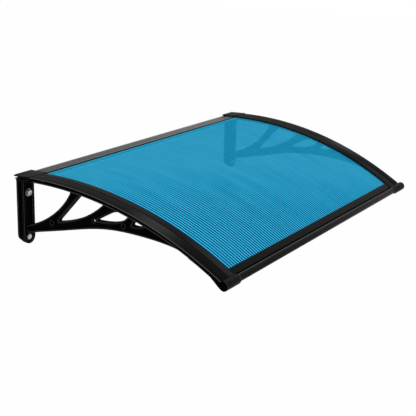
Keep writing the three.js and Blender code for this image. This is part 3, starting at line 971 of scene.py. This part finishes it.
def addRim(bm, hand):  # the plate under the covers with its outer rim
    inner, outer, low = across["inner"], across["outer"], plate["rimBottom"]
    foot, lip, edge = outer - plate["rimThick"], outer - plate["lipThick"], low + plate["rimEdge"]
    section = soften([
        (inner, plate["bottom"]), (foot, plate["bottom"]), (foot, low), (outer, low), (outer, edge),
        (outer, plate["lipTop"]), (lip, plate["lipTop"]), (lip, plate["top"]), (inner, plate["top"]),
    ], [0.5, 0.5, 0.5, 0.7, 0, 0.6, 0.6, 0.4, 0.5])
    addBowed(bm, section, spread(angleAt(coverStart), frontEdge, 40), hand, (rail["noseAlong"] - 3.5,))

    def onEdge(q):  # the rim's lower edge has a painted highlight as far as the cheek
        lift = math.hypot(-q.y - bow["crownOut"], q.z - bow["crownUp"] + bow["radius"]) - bow["radius"]
        return abs(q.x) > outer - 0.8 and lift < edge and -q.y < plate["highlitTo"]

    markFaces(bm, lambda q: abs(q.x) > foot - 0.2, edgeHighlight=edgeHighlights["noHighlight"])
    markFaces(bm, onEdge, edgeHighlight=0.85)


def addNose(bm, place):  # a cup that the rail's bead goes into
    start, end, r = across["open"], across["noseEnd"], rail["noseRadius"]
    inside, sunk, rim, edge = rail["beadRadius"] + cup["room"], end - cup["sunk"], r - cup["rim"], cup["edge"]
    profile = [(0.01, sunk), (rim, sunk), (rim + 0.1, end), (r - edge, end), (r, end - edge)]
    for t in spread(0, 1, 6):  # the collar eases down to the rail's bead
        profile.append((r + (inside - r) * t * t * (3 - 2 * t), start + cup["collar"] * (1 - t)))
    profile += [(inside, start + cup["deep"]), (0.01, start + cup["deep"])]
    addLathe(bm, profile, lambda a, b, c: place(nose.x + a, nose.y + b, c))

    def onNose(q):  # more counts where the collar narrows
        near = 3 if abs(q.x) < start + cup["collar"] else 0.4
        return abs(offNose(q) - r) < near and abs(q.x) < end - 0.6

    # the nose and its collar take the lighter black, a painted highlight
    markFaces(bm, onNose, edgeHighlight=edgeHighlights["noHighlight"], finish=1)
    # a faint painted highlight where the collar narrows
    markFaces(bm, lambda q: onNose(q) and abs(q.x) < start + cup["collar"] - 0.1, edgeHighlight=0.3)
    # the rear half of the end is in shade
    markFaces(bm, lambda q: abs(q.x) > end - 2 and -q.y < nose.x + 1, edgeHighlight=edgeHighlights["noHighlight"], finish=2)


def bracket(hand, name):
    bm = newMesh()
    place = sideways(hand)
    addCheek(bm, place)
    addRim(bm, hand)
    addTruss(bm, place)
    addPost(bm, outwards(hand))
    addSeat(bm, place)
    addNose(bm, place)
    addPiece(name + "_moulded", bm, "bracket", [blackBracket, litNoseBlack, shadeBlack], name)


bracket(-1, "bracket_left")
bracket(1, "bracket_right")
print("brackets made")


# cover strips

cover = {
    "under": 0.3,
    "top": 2.5,
    "ridge": 5.0,
    "ridgeThick": 2.2,
    "outerTop": 3.8,
    "outerSlope": 14.0,
    "lip": 1.4,
    "rib": 480.5,
    "ribWide": 3.0,
    "groove": 477.5,
    "grooveHalf": 1.3,
    "grooveFloor": 0.6,
    "grooveDeep": 1.3,
    "innerSlope": 12.0,
    "seam": 3.0,
    "raised": 2.6,
    "lidThick": 3.0,
    "lidStep": 0.8,
    "lap": 6.0,
    "skirtFrom": 4.0,
    "skirtDrop": 1.8,
    "skirt": (0.6, 3.6),  # past the rear rail's end
    "capDeep": 14.0,
    "capThick": 3.6,
    "feet": [0.148, 0.49],  # shares of the opening
    "footHalf": 4.5,
    "footThick": 2.5,
    "footDrop": 3.7,
    "edge": 0.6,
    "skirtEdge": 0.3,
}
blackCover = mouldedFinish("satin_black", {
    "dark": (0.01, 0.01, 0.0098, 1),
    "light": (0.015, 0.015, 0.0147, 1),
    "dust": (0.035, 0.035, 0.034, 1),
    "edge": (0.04, 0.04, 0.039, 1),
    # painted shade in a band along the bow, painted a little lighter towards the front
    "paintedBand": (0.0045, 0.0045, 0.0046, 1),
    "paintedBandAt": 0.44,
    "paintedBandReach": 0.085,
    "front": (0.015, 0.015, 0.0147, 1),
    "frontStart": 0.46,
    "frontFull": 0.52,
    "rough": 0.55,
    "gloss": 0.018,
})
darkCover = mouldedFinish("matt_black", {
    "dark": (0.006, 0.006, 0.0061, 1),
    "light": (0.009, 0.009, 0.0091, 1),
    "dust": (0.025, 0.025, 0.025, 1),
    "edge": (0.1, 0.1, 0.097, 1),
    # painted highlight in a band along the bow, painted shade towards the front
    "paintedBand": (0.032, 0.032, 0.0315, 1),
    "paintedBandAt": 0.395,
    "paintedBandReach": 0.08,
    "front": (0.0015, 0.0015, 0.0016, 1),
    "frontStart": 0.415,
    "frontFull": 0.52,
    "rough": 0.5,
    "gloss": 0.012,
})


def addStrip(bm, hand):
    under, top, ridge, outerTop = cover["under"], cover["top"], cover["ridge"], cover["outerTop"]
    rib, edge, start, groove = cover["rib"], across["cover"], across["open"], cover["groove"]
    ribEnd, ribFoot = rib + cover["ribWide"], plate["top"] + bow["gap"]
    half, floor, deep = cover["grooveHalf"], cover["grooveFloor"], ridge - cover["grooveDeep"]
    section = soften([
        (start, under), (rib, under), (rib, ribFoot), (ribEnd, ribFoot),
        (ribEnd, ridge - cover["ridgeThick"]), (edge, outerTop - cover["lip"]), (edge, outerTop),
        (edge - cover["outerSlope"], ridge - 0.1), (groove + half, ridge - 0.3),
        (groove + floor, deep), (groove - floor, deep), (groove - half, ridge - 0.2),
        (groove - cover["innerSlope"], ridge - 0.7), (start + cover["seam"], top + 0.2), (start, top - 0.9),
    ], [0.2, 0.3, 0.5, 0.5, 0.3, 0.3, 0.6, 6, 0.4, 0.2, 0.2, 0.4, 5, 0, 0.4])
    end = frontAngle + (rail["noseAlong"] - rail["noseRadius"] - 0.05) / bow["radius"]
    addBowed(bm, section, spread(angleAt(coverStart), end, 60), hand)

    def inShade(q):  # the seam beside the sheet and the groove
        return abs(q.x) < start + cover["seam"] or abs(abs(q.x) - groove) < 1.05

    markFaces(bm, lambda q: abs(q.x) > groove - 1.0, edgeHighlight=edgeHighlights["noHighlight"], finish=1)
    markFaces(bm, inShade, edgeHighlight=edgeHighlights["noHighlight"], finish=2)
    # painted highlight along the outer edge
    markFaces(bm, lambda q: abs(q.x) > edge - 0.8, edgeHighlight=1.0)


def addRearEnd(bm, place):  # raised lid over the rear rail, with a skirt at its end and a cap by the wall
    raised, step, lap = cover["raised"], coverStart, coverStart + cover["lap"]
    start, rearEnd, lidTop = across["open"], across["rearEnd"], raised + cover["lidThick"]
    landing = -cover["under"] - cover["lidStep"]
    lid = [rearLine(0, raised), rearLine(step, raised), belowBow(step, landing), belowBow(lap, landing),
           belowBow(lap, -cover["top"]), belowBow(lap - cover["lidStep"], -lidTop), rearLine(0, lidTop)]
    lid = soften(lid, [0.2, 0.2, 0.2, 0.3, 0.6, 0.5, 0.6])
    addPrism(bm, lid, start, across["cover"], cover["edge"], place)
    skirt = rearBlock(cover["skirtFrom"], step + 1, -cover["skirtDrop"], raised + 1)
    near, far = (rearEnd + reach for reach in cover["skirt"])
    addPrism(bm, soften(skirt, 0.4), near, far, cover["skirtEdge"], place)
    deep, capTop = cover["capDeep"], raised + cover["capThick"]
    cap = [rearLine(0, raised), rearLine(deep, raised), rearLine(deep - 1, capTop), rearLine(0, capTop)]
    addPrism(bm, soften(cap, [0.3, 0.3, 0.8, 0.6]), start, across["cap"], cover["edge"], place)


def coverStrip(hand, name):
    bm = newMesh()
    addStrip(bm, hand)
    addRearEnd(bm, sideways(hand))
    outer, inner = across["outer"], across["outer"] - cover["footThick"]
    low, high = -cover["footDrop"], cover["outerTop"] - 0.5
    foot = soften(rectangle(inner, outer, low, high), 0.5)
    for share in cover["feet"]:
        out = share * bow["front"]
        addBowed(bm, foot, [angleAt(out - cover["footHalf"]), angleAt(out + cover["footHalf"])], hand)
    addPiece(name + "_satin", bm, "cover", [blackCover, darkCover, shadeBlack], name)


coverStrip(-1, "cover_left")
coverStrip(1, "cover_right")
print("covers made")


# wall bolts and washers

bolt = {
    "flats": 13.0,
    "tall": 5.3,
    "rows": (0, 0.25, 3.6, 4.0, 4.4, 4.7, 5.0, 5.3),  # heights up the head
    "corners": 72,  # points round the head
    "chamfer": 1.15,  # inwards for each mm up
    "faceShare": 0.95,  # of the flats, where the chamfer ends
    "footShare": 1.08,
    "ring": [(0.01, 5.25), (4.2, 5.25), (4.6, 5.3), (4.8, 5.6), (4.4, 5.72), (3.9, 5.5), (0.01, 5.5)],
    "shank": 4.0,
    "washer": 10.0,
    "washerThick": 1.6,
    "washerEdge": 0.3,
    "room": 0.3,
}
zinc = zincFinish("bright_zinc", {
    "dark": (0.3, 0.3, 0.3, 1),
    "light": (0.72, 0.72, 0.72, 1),
    "rough": 0.28,
})
dullZinc = zincFinish("dull_zinc", {
    "dark": (0.12, 0.12, 0.12, 1),
    "light": (0.34, 0.34, 0.34, 1),
    "rough": 0.38,
})


def boltPlace(hand, level):  # where the bolt sits, and how far out its washer lies
    deep = post["footDeep"] if level else post["pocketDeep"]
    place = outwards(hand, bow["crownUp"] - post["bolts"][level], across["mid"])
    return place, post["depth"] - deep + bolt["room"]


def hexBolt(hand, level, name):
    bm = newMesh()
    place, floor = boltPlace(hand, level)
    base = floor + bolt["washerThick"] + bolt["room"]
    flat = bolt["flats"] / 2
    rows = []
    for depth in bolt["rows"]:
        # the corners are turned off, most at the top
        reach = flat * bolt["faceShare"] + (bolt["tall"] - depth) * bolt["chamfer"]
        reach = reach if depth else flat * bolt["footShare"]
        row = []
        for t in spread(0, math.tau, bolt["corners"])[:-1]:
            hexagon = flat / math.cos((t + math.pi / 6) % (math.pi / 3) - math.pi / 6)
            r = min(hexagon, reach)
            row.append(place(r * math.cos(t), r * math.sin(t), base + depth))
        rows.append(row)
    addLoft(bm, rows)
    addLathe(bm, [(r, base + depth) for r, depth in bolt["ring"]], place, 36)
    shank = bolt["shank"]
    addLathe(bm, [(0.01, 0), (shank, 0), (shank, base + 1), (0.01, base + 1)], place, 24)
    addPiece(name + "_zinc", bm, "zinc", [zinc], name)


def washer(hand, level, name):
    bm = newMesh()
    place, floor = boltPlace(hand, level)
    loops = [ring(0, 0, bolt["washer"], 56), ring(0, 0, bolt["shank"] + bolt["room"], 32)]
    addPlate(bm, loops, floor, floor + bolt["washerThick"], bolt["washerEdge"], place)
    addPiece(name + "_zinc", bm, "zinc", [dullZinc], name)


for hand, side in ((-1, "left"), (1, "right")):
    for level, word in enumerate(("upper", "lower")):
        hexBolt(hand, level, f"wall_bolt_{side}_{word}")
        washer(hand, level, f"washer_{side}_{word}")
print("bolts made")


# studio, in metres

studio = {
    "room": (0.97, 0.985, 1.0, 1),
    "roomLight": 0.75,
    "floor": -2.4,
    "floorHalf": 30.0,
    "floorTones": [(0.9, 0.9, 0.9, 1), (0.94, 0.94, 0.94, 1)],
    "floorGlow": 0.97,
    "aim": (0, -0.3, -0.05),
    "lamps": [("key", (-1.6, -2.2, 3.2), 2.6, 34.0), ("fill", (2.6, -1.0, 2.4), 2.2, 10.0)],
    "camera": (-2.18771, -1.56757, 0.59569),
    "turn": (73.7476, -1.2742, -58.1887),
    "lens": 84.7223,
    "sensor": 36.0,
}


def addToScene(name, data):
    made = bpy.data.objects.new(name, data)
    scene.collection.objects.link(made)
    return made


def addWorld():
    scene.world = bpy.data.worlds.new("studio")
    sky = Paint("studio", scene.world)
    room = sky.node("ShaderNodeBackground", None, [studio["room"], studio["roomLight"]])
    white = sky.node("ShaderNodeBackground", None, [(1, 1, 1, 1), 1.0])
    mixed = sky.node("ShaderNodeMixShader", None, [sky.shown(), room, white])
    sky.node("ShaderNodeOutputWorld", None, [mixed])


def addFloor():
    paint = Paint("pale_floor")
    grain = paint.noise(paint.objectPlace(), 30.0, 4.0)
    matt = paint.node("ShaderNodeBsdfDiffuse", None, [paint.blend(grain, *studio["floorTones"])])
    glow = paint.node("ShaderNodeEmission", None, [(1, 1, 1, 1), 1.0])
    mixed = paint.node("ShaderNodeMixShader", None, [paint.shown() * studio["floorGlow"], matt, glow])
    paint.node("ShaderNodeOutputMaterial", None, [mixed])
    half, z = studio["floorHalf"], studio["floor"]
    mesh = bpy.data.meshes.new("floor")
    corners = [(x, y, z) for x, y in rectangle(-half, half, -half, half)]
    mesh.from_pydata(corners, [], [(0, 1, 2, 3)])
    mesh.materials.append(paint.material)
    addToScene("floor", mesh)


def addLamps():
    for name, place, size, power in studio["lamps"]:
        lamp = bpy.data.lights.new(name, "AREA")
        lamp.size = size
        lamp.energy = power
        holder = addToScene(name, lamp)
        holder.location = place
        holder.rotation_euler = (Vector(studio["aim"]) - Vector(place)).to_track_quat("-Z", "Y").to_euler()


def addCamera():
    lens = bpy.data.cameras.new("camera")
    lens.sensor_width = studio["sensor"]
    lens.lens = studio["lens"]
    camera = addToScene("camera", lens)
    camera.location = studio["camera"]
    camera.rotation_euler = tuple(math.radians(a) for a in studio["turn"])
    scene.camera = camera


addWorld()
addFloor()
addLamps()
addCamera()
scene.view_settings.view_transform = "Standard"
print("studio made")
